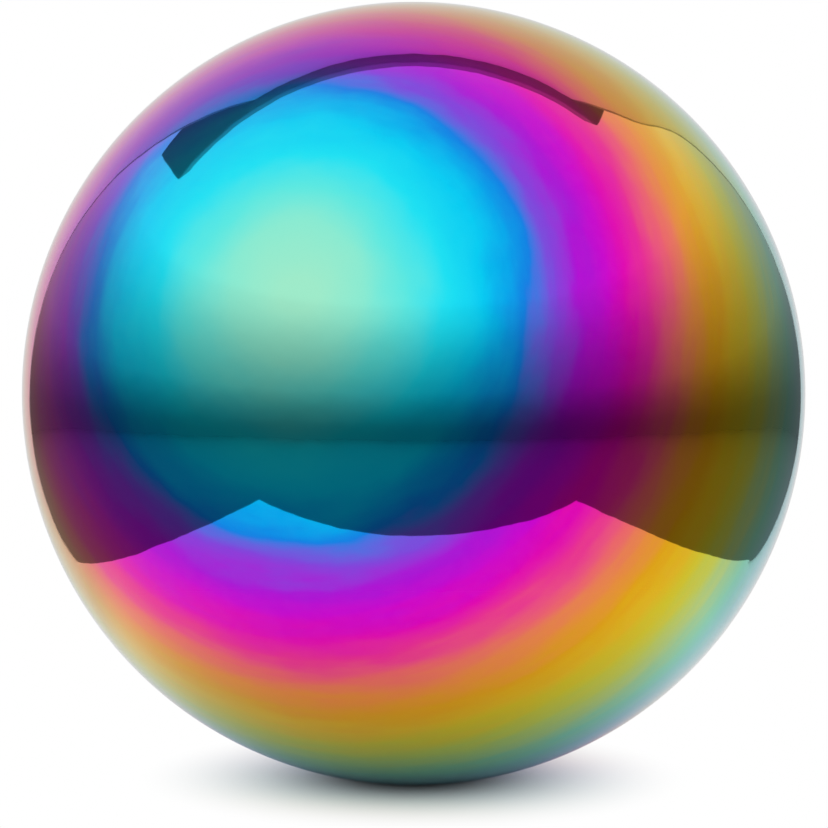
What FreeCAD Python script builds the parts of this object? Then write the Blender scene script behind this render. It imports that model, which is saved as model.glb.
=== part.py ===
"""Garden gazing ball: a hollow, mirror polished ball of thin stainless steel.

Two pressed halves meet at the equator, and one weld bead joins them. The bead is ground flush,
so the outside is one unbroken sphere. The lower pole is pressed flat, so that the ball stands by
itself. In the middle of that seat, a shallow cup with a drawn collar makes the vent, which lets
air in and out while the ball is welded and coated. A ribbed rubber plug closes the vent, and it
pulls out downwards.

All sizes are in millimetres. The origin is the centre of the seat, +Z is up through the ball's
centre, and -Y is the front.
"""

import FreeCAD
import Part
import math
import os

# The ball
ball_diameter = 254.0
sheet_thickness = 0.5

# The seat pressed into the lower pole: a flat ring that runs into the sphere over a soft knuckle
seat_radius = 16.0
seat_knuckle_radius = 8.0

# The weld: its root is narrower than its face, and stands a little proud inside the ball
weld_face_width = 2.4
weld_root_width = 1.4
weld_root_height = 0.2

# The vent: a cup that takes the plug's head, and a collar drawn up out of the cup's roof
vent_cup_radius = 9.2
vent_cup_depth = 1.8
vent_cup_draft_deg = 12.0
vent_bore_radius = 4.0
vent_collar_height = 4.2
bend_inside_radius = 0.6

# The plug's head
plug_head_recess = 0.5
plug_head_clearance = 0.5
plug_head_edge_radius = 0.4
plug_dimple_radius = 2.6
plug_dimple_depth = 0.35

# The plug's hollow stem: a short neck, the ribs that seal in the collar, and a tapered tip
plug_rib_clearance = 0.05
plug_rib_height = 0.3
plug_rib_count = 3
plug_rib_ramp_share = 0.2
plug_rib_land_share = 0.4
plug_neck_length = 0.5
plug_tip_length = 2.6
plug_tip_taper = 0.9
plug_wall = 1.5

# Worked out from the sizes above
ball_radius = ball_diameter / 2
inner_radius = ball_radius - sheet_thickness
centre_height = seat_knuckle_radius + math.sqrt(
    (ball_radius - seat_knuckle_radius) ** 2 - seat_radius**2
)
cup_taper = vent_cup_depth * math.tan(math.radians(vent_cup_draft_deg))


def point(radius, height):
    """A point of a section: its distance from the ball's axis, and its height."""
    return FreeCAD.Vector(radius, 0, height)


def on_sphere(sphere_radius, rise):
    """The point of a sphere about the ball's centre that lies this far above the equator."""
    return point(math.sqrt(sphere_radius**2 - rise**2), centre_height + rise)


def line(first, second):
    return Part.LineSegment(first, second).toShape()


def arc(first, second, centre):
    """The short arc about a centre from one point to another."""
    middle = ((first - centre) + (second - centre)).normalize()
    return Part.Arc(first, centre + middle * (first - centre).Length, second).toShape()


def ball_arc(first, second):
    return arc(first, second, point(0, centre_height))


def shallow_arc(first, second, crown):
    """An arc between two points that bulges to the left of the way between them."""
    way = second - first
    left = FreeCAD.Vector(-way.z, 0, way.x).normalize()
    return Part.Arc(first, first + way / 2 + left * crown, second).toShape()


def turned(edges):
    """The solid that a closed section makes when it is turned about the ball's axis."""
    section = Part.Face(Part.Wire(edges))
    return section.revolve(FreeCAD.Vector(0, 0, 0), FreeCAD.Vector(0, 0, 1), 360)


def sheet_face(corners, offset):
    """One face of bent sheet: the corners moved to the right of their way, an arc in each bend.

    The face on the inside of a bend has the inside radius, and the other face has the sheet's
    thickness more.
    """
    ways = [(b - a).normalize() for a, b in zip(corners, corners[1:])]
    rights = [FreeCAD.Vector(way.z, 0, -way.x) for way in ways]
    edges = []
    start = corners[0] + rights[0] * offset
    for index, corner in enumerate(corners[1:-1]):
        before = ways[index]
        after = ways[index + 1]
        mitre = rights[index] + rights[index + 1]
        moved = corner + mitre * (offset / mitre.dot(rights[index]))
        turns_right = after.dot(rights[index]) > 0
        is_inside = turns_right == (offset > 0)
        radius = bend_inside_radius + (0 if is_inside else sheet_thickness)
        half_turn = before.getAngle(after) / 2
        reach = radius * math.tan(half_turn)
        bend_start = moved - before * reach
        bend_end = moved + after * reach
        bend_centre = moved + (after - before).normalize() * (radius / math.cos(half_turn))
        edges.append(line(start, bend_start))
        edges.append(arc(bend_start, bend_end, bend_centre))
        start = bend_end
    edges.append(line(start, corners[-1] + rights[-1] * offset))
    return edges


def knuckle(offset):
    """The arc from the sphere down to the flat seat, on one face of the sheet."""
    centre = point(seat_radius, seat_knuckle_radius)
    outwards = (centre - point(0, centre_height)).normalize()
    radius = seat_knuckle_radius - offset
    return arc(centre + outwards * radius, centre - FreeCAD.Vector(0, 0, radius), centre)


def ends(edge):
    return edge.valueAt(edge.FirstParameter), edge.valueAt(edge.LastParameter)


def upper_shell():
    """The upper half: a plain pressed bowl, its edge sloped for the weld."""
    outer_top = point(0, centre_height + ball_radius)
    inner_top = point(0, centre_height + inner_radius)
    outer_edge = on_sphere(ball_radius, weld_face_width / 2)
    inner_edge = on_sphere(inner_radius, weld_root_width / 2)
    return turned(
        [
            ball_arc(outer_top, outer_edge),
            line(outer_edge, inner_edge),
            ball_arc(inner_edge, inner_top),
            line(inner_top, outer_top),
        ]
    )


def lower_shell():
    """The lower half: seat, vent cup and collar are all pressed in the one sheet."""
    outer_edge = on_sphere(ball_radius, -weld_face_width / 2)
    inner_edge = on_sphere(inner_radius, -weld_root_width / 2)
    corners = [
        point(seat_radius, 0),
        point(vent_cup_radius, 0),
        point(vent_cup_radius - cup_taper, vent_cup_depth),
        point(vent_bore_radius, vent_cup_depth),
        point(vent_bore_radius, vent_cup_depth + vent_collar_height),
    ]
    outer_face = sheet_face(corners, 0)
    inner_face = sheet_face(corners, sheet_thickness)
    outer_knuckle = knuckle(0)
    inner_knuckle = knuckle(sheet_thickness)
    return turned(
        [
            ball_arc(outer_edge, ends(outer_knuckle)[0]),
            outer_knuckle,
            *outer_face,
            line(ends(outer_face[-1])[1], ends(inner_face[-1])[1]),
            *reversed(inner_face),
            inner_knuckle,
            ball_arc(ends(inner_knuckle)[0], inner_edge),
            line(inner_edge, outer_edge),
        ]
    )


def equator_weld():
    """The bead between the halves: ground flush outside, rounded at its root inside."""
    outer_upper = on_sphere(ball_radius, weld_face_width / 2)
    outer_lower = on_sphere(ball_radius, -weld_face_width / 2)
    root_upper = on_sphere(inner_radius, weld_root_width / 2)
    root_lower = on_sphere(inner_radius, -weld_root_width / 2)
    return turned(
        [
            ball_arc(outer_lower, outer_upper),
            line(outer_upper, root_upper),
            shallow_arc(root_lower, root_upper, weld_root_height),
            line(root_lower, outer_lower),
        ]
    )


def stem_side(rib_radius, neck_radius):
    """The corners of the stem's side, from the underside of the head to the end of the tip."""
    neck_top = vent_cup_depth + plug_neck_length
    collar_top = vent_cup_depth + vent_collar_height
    pitch = (collar_top - neck_top) / plug_rib_count
    ramp = pitch * plug_rib_ramp_share
    land = pitch * plug_rib_land_share
    corners = [point(neck_radius, vent_cup_depth)]
    for index in range(plug_rib_count):
        rib_base = neck_top + index * pitch
        corners.append(point(neck_radius, rib_base))
        corners.append(point(rib_radius, rib_base + ramp))
        corners.append(point(rib_radius, rib_base + ramp + land))
        corners.append(point(neck_radius, rib_base + ramp + land + ramp))
    corners.append(point(neck_radius, collar_top))
    corners.append(point(neck_radius - plug_tip_taper, collar_top + plug_tip_length))
    return corners


def vent_plug():
    """The stopper: a flat head that hides in the cup, and a hollow stem that seals the collar."""
    rib_radius = vent_bore_radius - plug_rib_clearance
    neck_radius = rib_radius - plug_rib_height
    head_radius = vent_cup_radius - cup_taper - bend_inside_radius - plug_head_clearance
    head_edge_height = plug_head_recess + plug_head_edge_radius
    stem = stem_side(rib_radius, neck_radius)
    core_radius = neck_radius - plug_wall
    core_floor = vent_cup_depth + plug_neck_length
    core_top = stem[-1].z

    dimple_top = point(0, plug_head_recess + plug_dimple_depth)
    dimple_rim = point(plug_dimple_radius, plug_head_recess)
    dimple_sphere = (plug_dimple_radius**2 + plug_dimple_depth**2) / (2 * plug_dimple_depth)
    edge_start = point(head_radius - plug_head_edge_radius, plug_head_recess)
    edge_end = point(head_radius, head_edge_height)
    edge_centre = point(edge_start.x, edge_end.z)
    head_top = point(head_radius, vent_cup_depth)
    return turned(
        [
            arc(dimple_top, dimple_rim, dimple_top - FreeCAD.Vector(0, 0, dimple_sphere)),
            line(dimple_rim, edge_start),
            arc(edge_start, edge_end, edge_centre),
            line(edge_end, head_top),
            line(head_top, stem[0]),
            *[line(first, second) for first, second in zip(stem, stem[1:])],
            line(stem[-1], point(core_radius, core_top)),
            line(point(core_radius, core_top), point(core_radius, core_floor)),
            line(point(core_radius, core_floor), point(0, core_floor)),
            line(point(0, core_floor), dimple_top),
        ]
    )


makers = {
    "upper_shell": upper_shell,
    "lower_shell": lower_shell,
    "equator_weld": equator_weld,
    "vent_plug": vent_plug,
}

os.makedirs("parts", exist_ok=True)
for name, make in makers.items():
    solid = make()
    if not solid.isValid():
        raise ValueError(name + " is not a valid solid")
    solid.exportStep(os.path.join("parts", name + ".step"))
    box = solid.BoundBox
    print(f"{name}: {solid.Volume:.1f} mm3, {box.XLength:.2f} wide, z {box.ZMin:.3f} to {box.ZMax:.3f}")
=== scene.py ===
import math

import bmesh
import bpy
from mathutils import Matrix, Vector


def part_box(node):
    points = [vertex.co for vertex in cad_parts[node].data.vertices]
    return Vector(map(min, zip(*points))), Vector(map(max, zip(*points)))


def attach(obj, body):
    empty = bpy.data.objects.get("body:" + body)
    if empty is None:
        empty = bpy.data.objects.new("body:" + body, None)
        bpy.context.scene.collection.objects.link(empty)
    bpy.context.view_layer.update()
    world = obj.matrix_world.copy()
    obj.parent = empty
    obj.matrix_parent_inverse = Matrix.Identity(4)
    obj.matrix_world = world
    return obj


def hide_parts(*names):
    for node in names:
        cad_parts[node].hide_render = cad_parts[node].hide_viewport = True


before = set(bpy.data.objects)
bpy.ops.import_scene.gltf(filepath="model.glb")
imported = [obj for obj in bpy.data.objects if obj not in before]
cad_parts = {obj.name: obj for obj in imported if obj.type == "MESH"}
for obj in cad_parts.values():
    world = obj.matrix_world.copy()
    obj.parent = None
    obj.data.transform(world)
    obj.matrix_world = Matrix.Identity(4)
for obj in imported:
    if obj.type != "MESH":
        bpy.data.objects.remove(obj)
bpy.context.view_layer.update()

# The ball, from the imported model
weld_low, weld_high = (Vector(corner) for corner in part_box("equator_weld"))
shell_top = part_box("upper_shell")[1][2]
centre_height = (weld_low.z + weld_high.z) / 2
ball_radius = shell_top - centre_height
ball_centre = Vector((0, 0, centre_height))

# The pressed sheet, as in the model
sheet = 0.0005
inner_radius = ball_radius - sheet
seat_radius = 0.016
knuckle_radius = 0.008
knuckle_polar = math.pi - math.atan2(seat_radius, centre_height - knuckle_radius)
weld_face_half = 0.0012
weld_root_half = 0.0007
weld_root_height = 0.0002
cup_radius = 0.0092
cup_depth = 0.0018
cup_taper = cup_depth * math.tan(math.radians(12))
bore_radius = 0.004
collar_height = 0.0042
bend_radius = 0.0006

# The plug, as in the model, with its moulded edges a little rounded
plug_recess = 0.0005
plug_head_clearance = 0.0005
plug_head_radius = cup_radius - cup_taper - bend_radius - plug_head_clearance
plug_edge_radius = 0.0004
plug_dimple_radius = 0.0026
plug_dimple_depth = 0.00035
plug_rib_clearance = 0.00005
plug_rib_radius = bore_radius - plug_rib_clearance
plug_rib_height = 0.0003
plug_rib_ramp_share = 0.2
plug_rib_land_share = 0.4
plug_ribs = 3
plug_neck_radius = plug_rib_radius - plug_rib_height
plug_neck_length = 0.0005
plug_neck_top = cup_depth + plug_neck_length
plug_wall = 0.0015
plug_core_radius = plug_neck_radius - plug_wall
plug_tip_length = 0.0026
plug_tip_taper = 0.0009
plug_soft_edge = 0.00008

# How finely round things are cut, and how near two points count as one
turn_steps = 256
plug_turn_steps = 96
ball_steps = 96
inner_steps = 48
bend_steps = 6
weld_face_steps = 3
weld_root_steps = 8
merge_distance = 1e-6
ball_tolerance = 1e-6
crease_angle = math.radians(35)


class Section:
    """A section drawn with a pen in the XZ plane, then turned about the ball's upright axis."""

    def __init__(self, radius, height):
        self.mesh = bmesh.new()
        self.bare = self.mesh.verts.layers.int.new("bare")
        self.first = self.tip = self.mesh.verts.new((radius, 0, height))

    def line(self, radius, height, bare=None):
        """Draw a straight line, and say whether what follows is the sheet's bare inner face."""
        start = self.tip
        self.tip = self.mesh.verts.new((radius, 0, height))
        self.tip[self.bare] = start[self.bare] if bare is None else bare
        self.mesh.edges.new((start, self.tip))

    def arc(self, radius, height, turn, steps):
        """Swing the pen about a centre; a positive turn takes up to right."""
        made = bmesh.ops.spin(
            self.mesh,
            geom=[self.tip],
            cent=(radius, 0, height),
            axis=(0, 1, 0),
            angle=turn,
            steps=steps,
        )
        self.tip = next(v for v in made["geom_last"] if isinstance(v, bmesh.types.BMVert))

    def rounded(self, corners, radii):
        """Draw lines through corners, each but the last with its own radius."""
        for corner, after, radius in zip(corners, corners[1:], radii):
            before = Vector((corner[0] - self.tip.co.x, corner[1] - self.tip.co.z)).normalized()
            onward = Vector((after[0] - corner[0], after[1] - corner[1])).normalized()
            turn = before.angle_signed(onward) if radius else 0
            reach = radius * math.tan(abs(turn) / 2)
            start = Vector(corner) - before * reach
            self.line(*start)
            if radius:
                side = Vector((before.y, -before.x)) * math.copysign(radius, turn)
                centre = start + side
                self.arc(*centre, turn, bend_steps)
        self.line(*corners[-1])

    def close(self):
        self.mesh.edges.new((self.tip, self.first))

    def turned(self, steps):
        """Turn the section once round, and close its seam and its poles."""
        mesh = self.mesh
        bmesh.ops.spin(
            mesh,
            geom=mesh.verts[:] + mesh.edges[:],
            cent=(0, 0, 0),
            axis=(0, 0, 1),
            angle=math.tau,
            steps=steps,
            use_merge=True,
        )
        bmesh.ops.remove_doubles(mesh, verts=mesh.verts[:], dist=merge_distance)
        bmesh.ops.recalc_face_normals(mesh, faces=mesh.faces[:])
        return mesh


def linear(*colour):
    """A colour as it is seen on a screen, in the linear form that a shader takes."""
    return (*(c / 12.92 if c <= 0.04045 else ((c + 0.055) / 1.055) ** 2.4 for c in colour), 1)


def grey(level):
    """A grey for a shader, by how much light it gives back."""
    return (level, level, level, 1)


class Signal:
    """A number in a shader: sums on it add Math nodes."""

    def __init__(self, recipe, socket):
        self.recipe = recipe
        self.socket = socket

    def maths(self, operation, first, second=0.0):
        node = self.recipe.add("ShaderNodeMath", {"operation": operation}, {0: first, 1: second})
        return Signal(self.recipe, node.outputs[0])

    def __add__(self, other):
        return self.maths("ADD", self, other)

    def __radd__(self, other):
        return self.maths("ADD", other, self)

    def __sub__(self, other):
        return self.maths("SUBTRACT", self, other)

    def __rsub__(self, other):
        return self.maths("SUBTRACT", other, self)

    def __mul__(self, other):
        return self.maths("MULTIPLY", self, other)

    def __rmul__(self, other):
        return self.maths("MULTIPLY", other, self)

    def __truediv__(self, other):
        return self.maths("DIVIDE", self, other)

    def at_least(self, other):
        return self.maths("MAXIMUM", self, other)

    def less_than(self, other):
        return self.maths("LESS_THAN", self, other)

    def clipped(self):
        return self.maths("MAXIMUM", self.maths("MINIMUM", self, 1.0), 0.0)

    def angle(self):
        return self.maths("ARCCOSINE", self)


class Recipe:
    """The shader of one material or of the world."""

    def __init__(self, owner):
        owner.use_nodes = True
        self.tree = owner.node_tree
        self.tree.nodes.clear()

    def add(self, kind, settings=None, sockets=None):
        """Add a node: its settings first, then the values or links of its sockets."""
        node = self.tree.nodes.new(kind)
        for name, value in (settings or {}).items():
            if name == "stops":
                self.set_stops(node.color_ramp, value)
            elif name == "ramp":
                node.color_ramp.interpolation = value
            else:
                setattr(node, name, value)
        for name, value in (sockets or {}).items():
            value = value.socket if isinstance(value, Signal) else value
            if isinstance(value, bpy.types.NodeSocket):
                self.tree.links.new(value, node.inputs[name])
            else:
                node.inputs[name].default_value = value
        return node

    def set_stops(self, ramp, stops):
        while len(ramp.elements) < len(stops):
            ramp.elements.new(1.0)
        for element, (position, colour) in zip(ramp.elements, stops):
            element.position = position
            element.color = colour

    def signal(self, kind, settings=None, sockets=None, output=0):
        return Signal(self, self.add(kind, settings, sockets).outputs[output])

    def place(self):
        """Each point's place on the object."""
        return self.add("ShaderNodeTexCoord").outputs["Object"]

    def noise(self, where, scale, detail, roughness=0.5):
        """Smooth noise about zero."""
        sockets = {"Vector": where, "Scale": scale, "Detail": detail, "Roughness": roughness}
        return self.signal("ShaderNodeTexNoise", None, sockets) - 0.5

    def finish(self, kind, shader):
        self.add(kind, None, {"Surface": shader.outputs[0]})


def new_material(name):
    material = bpy.data.materials.new(name)
    return material, Recipe(material)


def place_on_ball(recipe):
    """Each point's direction from the ball's centre."""
    where = recipe.place()
    sockets = {0: where, 1: ball_centre}
    moved = recipe.add("ShaderNodeVectorMath", {"operation": "SUBTRACT"}, sockets)
    sockets = {0: moved.outputs[0]}
    return recipe.add("ShaderNodeVectorMath", {"operation": "NORMALIZE"}, sockets).outputs[0]


# The coating is thinnest at one spot, and its bands are rings about that spot. They lean to one
# side, more so towards the top, and wander a little, and fine streaks run along them. Thickness
# goes from 0 at that spot to 1 at the far side of the ball
thin_spot = Vector((-0.272, -0.908, 0.320)).normalized()
side_lean = math.radians(2.4) / math.pi
upper_lean = math.radians(6.5) / math.pi
broad_wander = 0.02
small_wander = 0.008
streak_squeeze = 6.0
streak_strength = 0.032
polish_ripple = 0.000022

# The coating's colours, by how many degrees from the thin spot they are seen
band_colours = [
    (0, (0.62, 0.92, 0.79)),
    (8, (0.54, 0.92, 0.82)),
    (14, (0.36, 0.91, 0.88)),
    (20, (0.10, 0.88, 0.95)),
    (26, (0.00, 0.80, 0.95)),
    (30, (0.00, 0.66, 0.92)),
    (33, (0.05, 0.50, 0.89)),
    (37, (0.50, 0.27, 0.86)),
    (41, (0.67, 0.06, 0.83)),
    (45, (0.79, 0.00, 0.80)),
    (49, (0.88, 0.00, 0.69)),
    (53, (0.91, 0.18, 0.57)),
    (57, (0.92, 0.39, 0.42)),
    (61, (0.90, 0.54, 0.24)),
    (65, (0.87, 0.62, 0.00)),
    (69, (0.86, 0.69, 0.00)),
    (73, (0.80, 0.74, 0.00)),
    (77, (0.73, 0.76, 0.22)),
    (81, (0.62, 0.76, 0.44)),
    (86, (0.36, 0.76, 0.61)),
    (93, (0.16, 0.70, 0.73)),
    (102, (0.16, 0.68, 0.76)),
    (111, (0.26, 0.58, 0.82)),
    (118, (0.52, 0.42, 0.82)),
    (125, (0.78, 0.34, 0.70)),
    (132, (0.89, 0.46, 0.50)),
    (141, (0.85, 0.66, 0.30)),
    (151, (0.66, 0.75, 0.36)),
    (161, (0.36, 0.75, 0.58)),
    (171, (0.27, 0.65, 0.78)),
    (180, (0.42, 0.54, 0.84)),
]


def rainbow_mirror():
    """Polished steel under an interference coating whose colour follows its thickness."""
    material, recipe = new_material("rainbow_mirror")
    direction = place_on_ball(recipe)
    sockets = {0: direction, 1: thin_spot}
    towards = recipe.signal("ShaderNodeVectorMath", {"operation": "DOT_PRODUCT"}, sockets, "Value")
    places = recipe.add("ShaderNodeSeparateXYZ", None, {0: direction}).outputs
    across, up = Signal(recipe, places["X"]), Signal(recipe, places["Z"])
    lean = across * (up * upper_lean + side_lean)
    broad = recipe.noise(direction, scale=2.2, detail=2.0)
    small = recipe.noise(direction, scale=11.0, detail=2.0)
    uneven = broad * broad_wander + small * small_wander
    depth = recipe.add("ShaderNodeVectorMath", {"operation": "PROJECT"}, sockets)
    sockets = {0: depth.outputs[0], 1: (streak_squeeze,) * 3, 2: direction}
    squeezed = recipe.add("ShaderNodeVectorMath", {"operation": "MULTIPLY_ADD"}, sockets)
    streaks = recipe.noise(squeezed.outputs[0], scale=3.4, detail=4.0) * streak_strength
    thickness = towards.angle() / math.pi + lean + uneven + streaks
    stops = [(degrees / 180, linear(*colour)) for degrees, colour in band_colours]
    settings = {"ramp": "LINEAR", "stops": stops}
    colour = recipe.add("ShaderNodeValToRGB", settings, {"Fac": thickness})
    haze = recipe.noise(direction, scale=3.0, detail=4.0, roughness=0.6)
    long_waves = recipe.noise(direction, scale=6.0, detail=1.0)
    short_waves = recipe.noise(direction, scale=17.0, detail=1.0)
    waves = long_waves * 3.0 + short_waves
    sockets = {"Strength": 1.0, "Distance": polish_ripple, "Height": waves}
    bump = recipe.add("ShaderNodeBump", None, sockets)
    surface = recipe.add(
        "ShaderNodeBsdfPrincipled",
        None,
        {
            "Base Color": colour.outputs["Color"],
            "Metallic": 1.0,
            "Roughness": 0.03 + haze * 0.02,
            "Normal": bump.outputs["Normal"],
            "Coat Weight": 1.0,
            "Coat Roughness": 0.02,
            "Coat IOR": 1.1,
        },
    )
    recipe.finish("ShaderNodeOutputMaterial", surface)
    return material


# The bare steel inside: how fine its marks are across and along, and how fast the heat tint fades
mark_scale = (4, 4, 900)
mark_depth = 0.0001
tint_fading = 12000.0


def pressed_steel():
    """The bare inside of the sheet: drawn marks round the ball, and heat tint beside the weld."""
    material, recipe = new_material("pressed_steel")
    where = recipe.place()
    rings = recipe.add("ShaderNodeMapping", None, {"Vector": where, "Scale": mark_scale})
    marks = recipe.noise(rings.outputs[0], scale=1.0, detail=3.0)
    height = recipe.add("ShaderNodeSeparateXYZ", None, {0: where}).outputs["Z"]
    rise = Signal(recipe, height) - centre_height
    near_weld = (1.0 - rise * rise * tint_fading).clipped()
    tint = recipe.add(
        "ShaderNodeValToRGB",
        {
            "stops": [
                (0.0, linear(0.66, 0.65, 0.64)),
                (0.55, linear(0.72, 0.62, 0.42)),
                (0.8, linear(0.55, 0.35, 0.30)),
                (1.0, linear(0.30, 0.36, 0.52)),
            ]
        },
        {"Fac": near_weld},
    )
    sockets = {"Strength": 0.5, "Distance": mark_depth, "Height": marks}
    bump = recipe.add("ShaderNodeBump", None, sockets)
    surface = recipe.add(
        "ShaderNodeBsdfPrincipled",
        None,
        {
            "Base Color": tint.outputs["Color"],
            "Metallic": 1.0,
            "Roughness": 0.32 + marks * 0.3,
            "Normal": bump.outputs["Normal"],
        },
    )
    recipe.finish("ShaderNodeOutputMaterial", surface)
    return material


# How deep the moulded grain of the rubber is
rubber_grain_depth = 0.00002


def plug_rubber():
    """Moulded black rubber with a fine matt grain and a little bloom."""
    material, recipe = new_material("plug_rubber")
    where = recipe.place()
    grain = recipe.noise(where, scale=4000.0, detail=3.0)
    bloom = recipe.noise(where, scale=260.0, detail=2.0)
    stops = [(0.0, linear(0.13, 0.13, 0.135)), (1.0, linear(0.24, 0.24, 0.235))]
    colour = recipe.add("ShaderNodeValToRGB", {"stops": stops}, {"Fac": bloom + 0.5})
    sockets = {"Strength": 0.5, "Distance": rubber_grain_depth, "Height": grain}
    bump = recipe.add("ShaderNodeBump", None, sockets)
    surface = recipe.add(
        "ShaderNodeBsdfPrincipled",
        None,
        {
            "Base Color": colour.outputs["Color"],
            "Roughness": 0.62 + bloom * 0.2,
            "Normal": bump.outputs["Normal"],
        },
    )
    recipe.finish("ShaderNodeOutputMaterial", surface)
    return material


def on_ball(point, radius):
    return abs((point - ball_centre).length - radius) < ball_tolerance


def finished(section, name, body, node, materials, steps=turn_steps):
    """Make the piece of a section: bare faces get the second material, and the ball's faces its
    exact normals, so that the mirror shows no facets and no seam."""
    mesh = section.turned(steps)
    bare = section.bare
    for face in mesh.faces:
        face.smooth = True
        if len(materials) > 1 and all(vert[bare] for vert in face.verts):
            face.material_index = 1
    data = bpy.data.meshes.new(name)
    mesh.to_mesh(data)
    mesh.free()
    data.attributes.remove(data.attributes["bare"])
    data.set_sharp_from_angle(angle=crease_angle)
    normals = [Vector()] * len(data.loops)
    for polygon in data.polygons:
        corners = [data.vertices[index].co for index in polygon.vertices]
        for radius, way in ((ball_radius, 1), (inner_radius, -1)):
            if all(on_ball(corner, radius) for corner in corners):
                for loop, corner in zip(polygon.loop_indices, corners):
                    normals[loop] = (corner - ball_centre).normalized() * way
    data.normals_split_custom_set(normals)
    for material in materials:
        data.materials.append(material)
    piece = bpy.data.objects.new(name, data)
    bpy.context.collection.objects.link(piece)
    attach(piece, body)
    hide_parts(node)


def ball_point(radius, rise):
    """The section's point on a sphere about the ball's centre, this far above the equator."""
    return math.sqrt(radius**2 - rise**2), centre_height + rise


def upper_shell(materials):
    """The upper half, from its pole down to the weld, and back on the bare side."""
    section = Section(0, centre_height + ball_radius)
    section.arc(0, centre_height, math.acos(weld_face_half / ball_radius), ball_steps)
    section.line(*ball_point(inner_radius, weld_root_half), bare=1)
    section.arc(0, centre_height, -math.acos(weld_root_half / inner_radius), inner_steps)
    finished(section, "upper_half", "ball", "upper_shell", materials)


def offset_corners(corners, offset):
    """Corners moved to the right of their way by the sheet's thickness."""
    points = [Vector(corner) for corner in corners]
    ways = [(b - a).normalized() for a, b in zip(points, points[1:])]
    rights = [Vector((way.y, -way.x)) for way in ways]
    moved = [points[0] + rights[0] * offset]
    for corner, first, second in zip(points[1:], rights, rights[1:]):
        mitre = first + second
        moved.append(corner + mitre * (offset / mitre.dot(first)))
    moved.append(points[-1] + rights[-1] * offset)
    return moved


def lower_shell(materials):
    """The lower half, from the weld down to the seat, up the vent, and back on the bare side."""
    weld_polar = math.acos(-weld_face_half / ball_radius)
    root_polar = math.acos(-weld_root_half / inner_radius)
    to_flat = math.pi - knuckle_polar
    tight = bend_radius
    wide = bend_radius + sheet
    corners = [
        Vector((seat_radius, 0)),
        Vector((cup_radius, 0)),
        Vector((cup_radius - cup_taper, cup_depth)),
        Vector((bore_radius, cup_depth)),
        Vector((bore_radius, cup_depth + collar_height)),
    ]
    inner_corners = offset_corners(corners, sheet)
    section = Section(*ball_point(ball_radius, -weld_face_half))
    section.arc(0, centre_height, knuckle_polar - weld_polar, ball_steps)
    section.arc(seat_radius, knuckle_radius, to_flat, bend_steps * 2)
    section.rounded(corners[1:], [wide, tight, wide])
    section.line(*inner_corners[-1], bare=1)
    section.rounded(inner_corners[-2::-1], [tight, wide, tight])
    section.arc(seat_radius, knuckle_radius, -to_flat, bend_steps * 2)
    section.arc(0, centre_height, root_polar - knuckle_polar, inner_steps)
    section.close()
    finished(section, "lower_half", "ball", "lower_shell", materials)


def equator_weld(materials):
    """The polished bead, with its rounded root inside."""
    face_turn = 2 * math.asin(weld_face_half / ball_radius)
    root_radius = (weld_root_half**2 + weld_root_height**2) / (2 * weld_root_height)
    root_turn = 2 * math.asin(weld_root_half / root_radius)
    root_x = ball_point(inner_radius, weld_root_half)[0]
    root_centre = root_x + math.sqrt(root_radius**2 - weld_root_half**2)
    section = Section(*ball_point(ball_radius, weld_face_half))
    section.arc(0, centre_height, face_turn, weld_face_steps)
    section.line(root_x, centre_height - weld_root_half, bare=1)
    section.arc(root_centre, centre_height, root_turn, weld_root_steps)
    section.close()
    finished(section, "weld_bead", "ball", "equator_weld", materials)


def vent_plug(materials):
    """The rubber stopper: dimpled head, three rounded ribs and a hollow tapered stem."""
    collar_top = cup_depth + collar_height
    pitch = (collar_top - plug_neck_top) / plug_ribs
    dimple_sphere = (plug_dimple_radius**2 + plug_dimple_depth**2) / (2 * plug_dimple_depth)
    dimple_turn = math.asin(plug_dimple_radius / dimple_sphere)
    ramp = plug_rib_ramp_share * pitch
    land = plug_rib_land_share * pitch
    corners = [
        (plug_head_radius, plug_recess),
        (plug_head_radius, cup_depth),
        (plug_neck_radius, cup_depth),
    ]
    for index in range(plug_ribs):
        base = plug_neck_top + index * pitch
        corners += [
            (plug_neck_radius, base),
            (plug_rib_radius, base + ramp),
            (plug_rib_radius, base + ramp + land),
            (plug_neck_radius, base + ramp + land + ramp),
        ]
    corners += [
        (plug_neck_radius, collar_top),
        (plug_neck_radius - plug_tip_taper, collar_top + plug_tip_length),
        (plug_core_radius, collar_top + plug_tip_length),
        (plug_core_radius, plug_neck_top),
        (0, plug_neck_top),
    ]
    radii = [plug_edge_radius] + [plug_soft_edge] * (len(corners) - 2)
    dimple_top = plug_recess + plug_dimple_depth
    section = Section(0, dimple_top)
    section.arc(0, dimple_top - dimple_sphere, dimple_turn, bend_steps)
    section.rounded(corners, radii)
    finished(
        section, "rubber_vent_plug", "plug", "vent_plug", materials, plug_turn_steps
    )


# The white board, with its front corners, and how far its front edge bows in between them
board_left = -1.8 * ball_radius
board_right = 1.83 * ball_radius
board_back = 1.15 * ball_radius
board_curve = 0.3 * ball_radius
board_drop = -0.0003
board_front_left = Vector((-1.74 * ball_radius, -2.18 * ball_radius, board_drop))
board_front_right = Vector((1.82 * ball_radius, -2.1 * ball_radius, board_drop))
board_front_bow = 0.11 * ball_radius
board_front_cuts = 23

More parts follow.
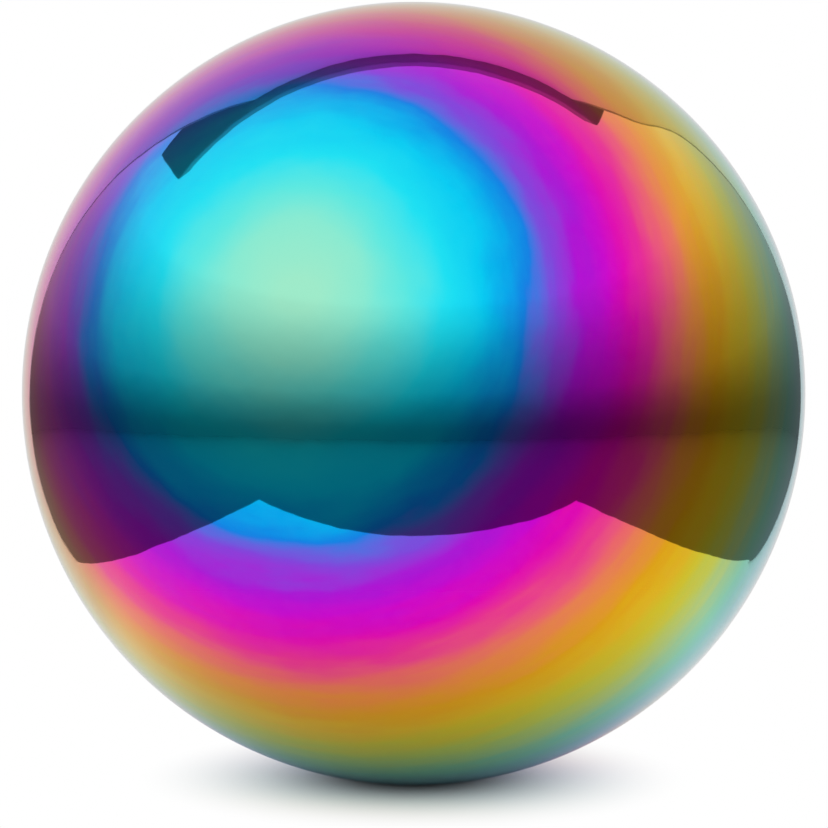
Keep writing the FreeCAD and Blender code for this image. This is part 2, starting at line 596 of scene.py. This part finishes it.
# The panel that the board curves up into. Its edges, given left and right, are drawn in to a waist,
# and spread again to its head between two heights
board_top = centre_height + 3.62 * ball_radius
panel_waist = (-1.72 * ball_radius, 1.55 * ball_radius)
panel_head = (-2.0 * ball_radius, 2.0 * ball_radius)
panel_waist_height = 0.6 * ball_radius
panel_head_flares = ((0.7 * ball_radius, 3.4 * ball_radius), (2.2 * ball_radius, 3.5 * ball_radius))
panel_rows = 24
panel_curve_steps = 16
edging_depth = 0.06 * ball_radius

# The shelf over the panel
shelf_left = -4.1 * ball_radius
shelf_right = 2.55 * ball_radius
shelf_front = 0.85 * ball_radius
shelf_back = 2.6 * ball_radius
shelf_rise = 0.38 * ball_radius
shelf_rounding = 0.06 * ball_radius
shelf_grey = grey(0.72)

# The hole under the seat, and the card below it
board_hole = 0.9 * seat_radius
under_card_radius = 0.12
under_card_height = -0.08
under_card_steps = 64

# How far from the seat the ball's shadow on the board begins to fade and is gone, as the camera
# sees it and as the ball does. The ball also shows the board dimmer from front to back, as painted
# shade towards the panel's foot: from where to where, and from which level to which
floor_shadow = (0.1 * ball_radius, 0.72 * ball_radius)
mirrored_shadow = (0.2 * ball_radius, 1.4 * ball_radius)
panel_dimming = (-0.1 * ball_radius, 0.85 * ball_radius, 1.0, 0.485)

# The studio's floor and wall
ground_height = -0.75
ground_radius = 6.5
ground_grey = grey(0.22)
wall_height = 5.0
wall_steps = 128

# How brightly the wall glows, by the share of its height; its dim foot is painted shade
wall_wash = [(0.0, 0.12), (0.12, 0.12), (0.3, 0.36), (0.6, 0.64), (0.88, 1.0), (1.0, 1.0)]


def stage_piece(name, mesh, material, camera):
    """Put a piece of the studio in place, and say whether the camera sees it."""
    data = bpy.data.meshes.new(name)
    mesh.to_mesh(data)
    mesh.free()
    data.materials.append(material)
    piece = bpy.data.objects.new(name, data)
    bpy.context.collection.objects.link(piece)
    piece.visible_camera = camera


def plain_paint(name, colour):
    material, recipe = new_material(name)
    sockets = {"Base Color": colour, "Roughness": 0.9}
    recipe.finish("ShaderNodeOutputMaterial", recipe.add("ShaderNodeBsdfPrincipled", None, sockets))
    return material


def white_glow(recipe):
    """Light of its own, at the level that shows as plain white."""
    return recipe.add("ShaderNodeEmission", None, {"Color": grey(1.0), "Strength": 1.0})


def lit_white():
    """White paint that the camera, metal and glass see as plain white away from the ball, and with
    the ball's soft shadow near it. It has a hole under the seat, and a camera below sees through it
    to the underside of the ball."""
    material, recipe = new_material("lit_white")
    where = recipe.place()
    distance = recipe.signal("ShaderNodeVectorMath", {"operation": "LENGTH"}, {0: where}, "Value")
    ray = recipe.add("ShaderNodeLightPath").outputs
    camera_ray = Signal(recipe, ray["Is Camera Ray"])
    mirror_ray = Signal(recipe, ray["Is Glossy Ray"]).at_least(ray["Is Transmission Ray"])
    places = recipe.add("ShaderNodeSeparateXYZ", None, {0: where}).outputs

    def change(value, start, end, first=0.0, last=1.0):
        """A smooth change from one strength to another, between two places."""
        sockets = {0: value, 1: start, 2: end, 3: first, 4: last}
        return recipe.signal("ShaderNodeMapRange", {"interpolation_type": "SMOOTHSTEP"}, sockets)

    seen = change(distance, *floor_shadow)
    # In the ball the board glows less towards the back: painted shade near the panel's foot
    mirrored = change(distance, *mirrored_shadow) * change(places["Y"], *panel_dimming)
    far = camera_ray * seen + mirror_ray * (1 - camera_ray) * mirrored
    paint = recipe.add("ShaderNodeBsdfDiffuse", None, {"Color": grey(0.97)})
    sockets = {0: far, 1: paint.outputs[0], 2: white_glow(recipe).outputs[0]}
    mixed = recipe.add("ShaderNodeMixShader", None, sockets)
    below = recipe.signal("ShaderNodeNewGeometry", output="Backfacing")
    hole = distance.less_than(board_hole)
    clear = recipe.add("ShaderNodeBsdfTransparent")
    sockets = {0: (camera_ray * below).at_least(hole), 1: mixed.outputs[0], 2: clear.outputs[0]}
    recipe.finish("ShaderNodeOutputMaterial", recipe.add("ShaderNodeMixShader", None, sockets))
    return material


def pulled(mesh, edges, way):
    """Extrude edges one way, and give the edges at the far side."""
    made = bmesh.ops.extrude_edge_only(mesh, edges=edges)["geom"]
    verts = [item for item in made if isinstance(item, bmesh.types.BMVert)]
    bmesh.ops.translate(mesh, verts=verts, vec=way)
    edges = [item for item in made if isinstance(item, bmesh.types.BMEdge)]
    return [edge for edge in edges if all(vert in verts for vert in edge.verts)]


def disc(radius, height, steps, filled):
    """A flat round piece about the ball's upright axis, or only its rim."""
    mesh = bmesh.new()
    bmesh.ops.create_circle(mesh, cap_ends=filled, segments=steps, radius=radius)
    bmesh.ops.translate(mesh, verts=mesh.verts[:], vec=(0, 0, height))
    return mesh


def under_card():
    """A white card under the hole in the board, which lights the seat and the plug from below."""
    material, recipe = new_material("glowing_white")
    recipe.finish("ShaderNodeOutputMaterial", white_glow(recipe))
    mesh = disc(under_card_radius, under_card_height, under_card_steps, True)
    stage_piece("under_card", mesh, material, False)


def white_board(white):
    """The white board that the ball stands on. Its front edge bows in a little towards the ball."""
    mesh = bmesh.new()
    front = [mesh.verts.new(corner) for corner in (board_front_left, board_front_right)]
    bmesh.ops.subdivide_edges(mesh, edges=[mesh.edges.new(front)], cuts=board_front_cuts)
    back = pulled(mesh, mesh.edges[:], (0, board_back, 0))
    back_verts = {vert for edge in back for vert in edge.verts}
    for vert in mesh.verts:
        share = (vert.co.x - board_front_left.x) / (board_front_right.x - board_front_left.x)
        if vert in back_verts:
            vert.co.x = board_left + share * (board_right - board_left)
            vert.co.y = board_back - board_curve
        else:
            vert.co.y += 4 * board_front_bow * share * (1 - share)
    bmesh.ops.recalc_face_normals(mesh, faces=mesh.faces[:])
    for face in mesh.faces:
        if face.normal.z < 0:
            face.normal_flip()
    stage_piece("white_board", mesh, white, True)


def eased(value, start, end):
    """A smooth change, from 0 at the start to 1 at the end."""
    share = min(max((value - start) / (end - start), 0), 1)
    return share * share * (3 - 2 * share)


def panel_side(place):
    """How far out the panel's edge lies at a height, on the place's own side."""
    side = 0 if place.x < 0 else 1
    foot = (board_left, board_right)[side]
    risen = min(max(place.z / panel_waist_height, 0), 1)
    drawn_in = (panel_waist[side] - foot) * math.sqrt(risen)
    spread = (panel_head[side] - panel_waist[side]) * eased(place.z, *panel_head_flares[side])
    return foot + drawn_in + spread


def white_panel(white, paint):
    """The board's other end, which curves up behind the ball, with painted edges. The ball mirrors
    it, and no camera sees it, so that the ball can be looked at from every side."""
    mesh = bmesh.new()
    start = board_back - board_curve
    foot = [mesh.verts.new((x, start, board_drop)) for x in (board_left, board_right)]
    made = bmesh.ops.spin(
        mesh,
        geom=[mesh.edges.new(foot)],
        cent=(0, start, board_drop + board_curve),
        axis=(1, 0, 0),
        angle=math.pi / 2,
        steps=panel_curve_steps,
    )["geom_last"]
    edges = [item for item in made if isinstance(item, bmesh.types.BMEdge)]
    row_height = (board_top - board_curve - board_drop) / panel_rows
    for _ in range(panel_rows):
        edges = pulled(mesh, edges, (0, 0, row_height))
    for vert in mesh.verts:
        vert.co.x = panel_side(vert.co)
    edging = mesh.copy()
    outline = [edge for edge in edging.edges if edge.is_boundary]
    rim = [edge for edge in outline if all(vert.co.z > 0 for vert in edge.verts)]
    panel_faces = edging.faces[:]
    pulled(edging, rim, (0, -edging_depth, 0))
    bmesh.ops.delete(edging, geom=panel_faces, context="FACES")
    stage_piece("panel_edging", edging, paint, False)
    stage_piece("white_panel", mesh, white, False)


def panel_shelf(paint):
    """The shelf that the panel hangs from, which reaches past it at both ends. The ball shows it
    dark, because its underside lies in shade."""
    low = Vector((shelf_left, shelf_front, board_top))
    high = Vector((shelf_right, shelf_back, board_top + shelf_rise))
    mesh = bmesh.new()
    bmesh.ops.create_cube(mesh, size=1)
    bmesh.ops.scale(mesh, vec=high - low, verts=mesh.verts[:])
    bmesh.ops.translate(mesh, vec=(low + high) / 2, verts=mesh.verts[:])
    bmesh.ops.bevel(
        mesh,
        geom=mesh.edges[:],
        affect="EDGES",
        offset=shelf_rounding,
        segments=3,
        profile=0.5,
        material=-1,
    )
    stage_piece("panel_shelf", mesh, paint, False)


def studio_ground():
    """The studio's grey floor, well below the board."""
    mesh = disc(ground_radius, ground_height, wall_steps, True)
    stage_piece("studio_ground", mesh, plain_paint("ground_grey", ground_grey), False)


def studio_wall():
    """The round studio wall glows: dim at its foot as painted shade, as white as the light above at
    its top.
    """
    material, recipe = new_material("wall_wash")
    height = recipe.add("ShaderNodeSeparateXYZ", None, {0: recipe.place()}).outputs["Z"]
    rise = ((Signal(recipe, height) - ground_height) / wall_height).clipped()
    settings = {"ramp": "B_SPLINE", "stops": [(share, grey(level)) for share, level in wall_wash]}
    wash = recipe.add("ShaderNodeValToRGB", settings, {"Fac": rise})
    glow = recipe.add("ShaderNodeEmission", None, {"Color": wash.outputs["Color"], "Strength": 1.0})
    recipe.finish("ShaderNodeOutputMaterial", glow)
    mesh = disc(ground_radius, ground_height, wall_steps, False)
    pulled(mesh, mesh.edges[:], (0, 0, wall_height))
    stage_piece("studio_wall", mesh, material, False)


def white_world():
    """Plain white light from all round, at the level at which a colour renders as it is written."""
    world = bpy.data.worlds.new("white_studio")
    bpy.context.scene.world = world
    recipe = Recipe(world)
    light = recipe.add("ShaderNodeBackground", None, {"Color": grey(1.0), "Strength": 1.0})
    recipe.finish("ShaderNodeOutputWorld", light)


# The camera: ten radii from the ball's centre and a little above it
camera_distance = 10 * ball_radius
camera_rise = math.radians(5.33)
sensor_width = 36

# The photograph's frame, and the ball's centre and radius in it, in pixels
photo_side = 828
photo_centre = (413.64, 393.7)
photo_ball_radius = 391.75


def camera():
    """A camera that sees the ball as large, as high and from the same angle as the photograph."""
    focal = photo_ball_radius / math.tan(math.asin(ball_radius / camera_distance))
    data = bpy.data.cameras.new("camera")
    data.sensor_width = sensor_width
    data.lens = sensor_width * focal / photo_side
    data.clip_start = ball_radius / 10
    data.clip_end = 100
    piece = bpy.data.objects.new("camera", data)
    bpy.context.collection.objects.link(piece)
    back = Vector((0, -math.cos(camera_rise), math.sin(camera_rise)))
    up = Vector((0, math.sin(camera_rise), math.cos(camera_rise)))
    metres = camera_distance / focal
    across = (photo_side / 2 - photo_centre[0]) * metres
    down = (photo_side / 2 - photo_centre[1]) * metres
    place = ball_centre + back * camera_distance
    target = ball_centre + Vector((across, 0, 0)) - up * down
    piece.location = place
    piece.rotation_euler = (target - place).to_track_quat("-Z", "Y").to_euler()
    bpy.context.scene.camera = piece


camera()
mirror = rainbow_mirror()
steel = pressed_steel()
upper_shell([mirror, steel])
lower_shell([mirror, steel])
equator_weld([mirror, steel])
vent_plug([plug_rubber()])
white = lit_white()
white_board(white)
shelf_paint = plain_paint("shelf_paint", shelf_grey)
white_panel(white, shelf_paint)
panel_shelf(shelf_paint)
under_card()
studio_ground()
studio_wall()
white_world()
bpy.context.scene.view_settings.view_transform = "Standard"
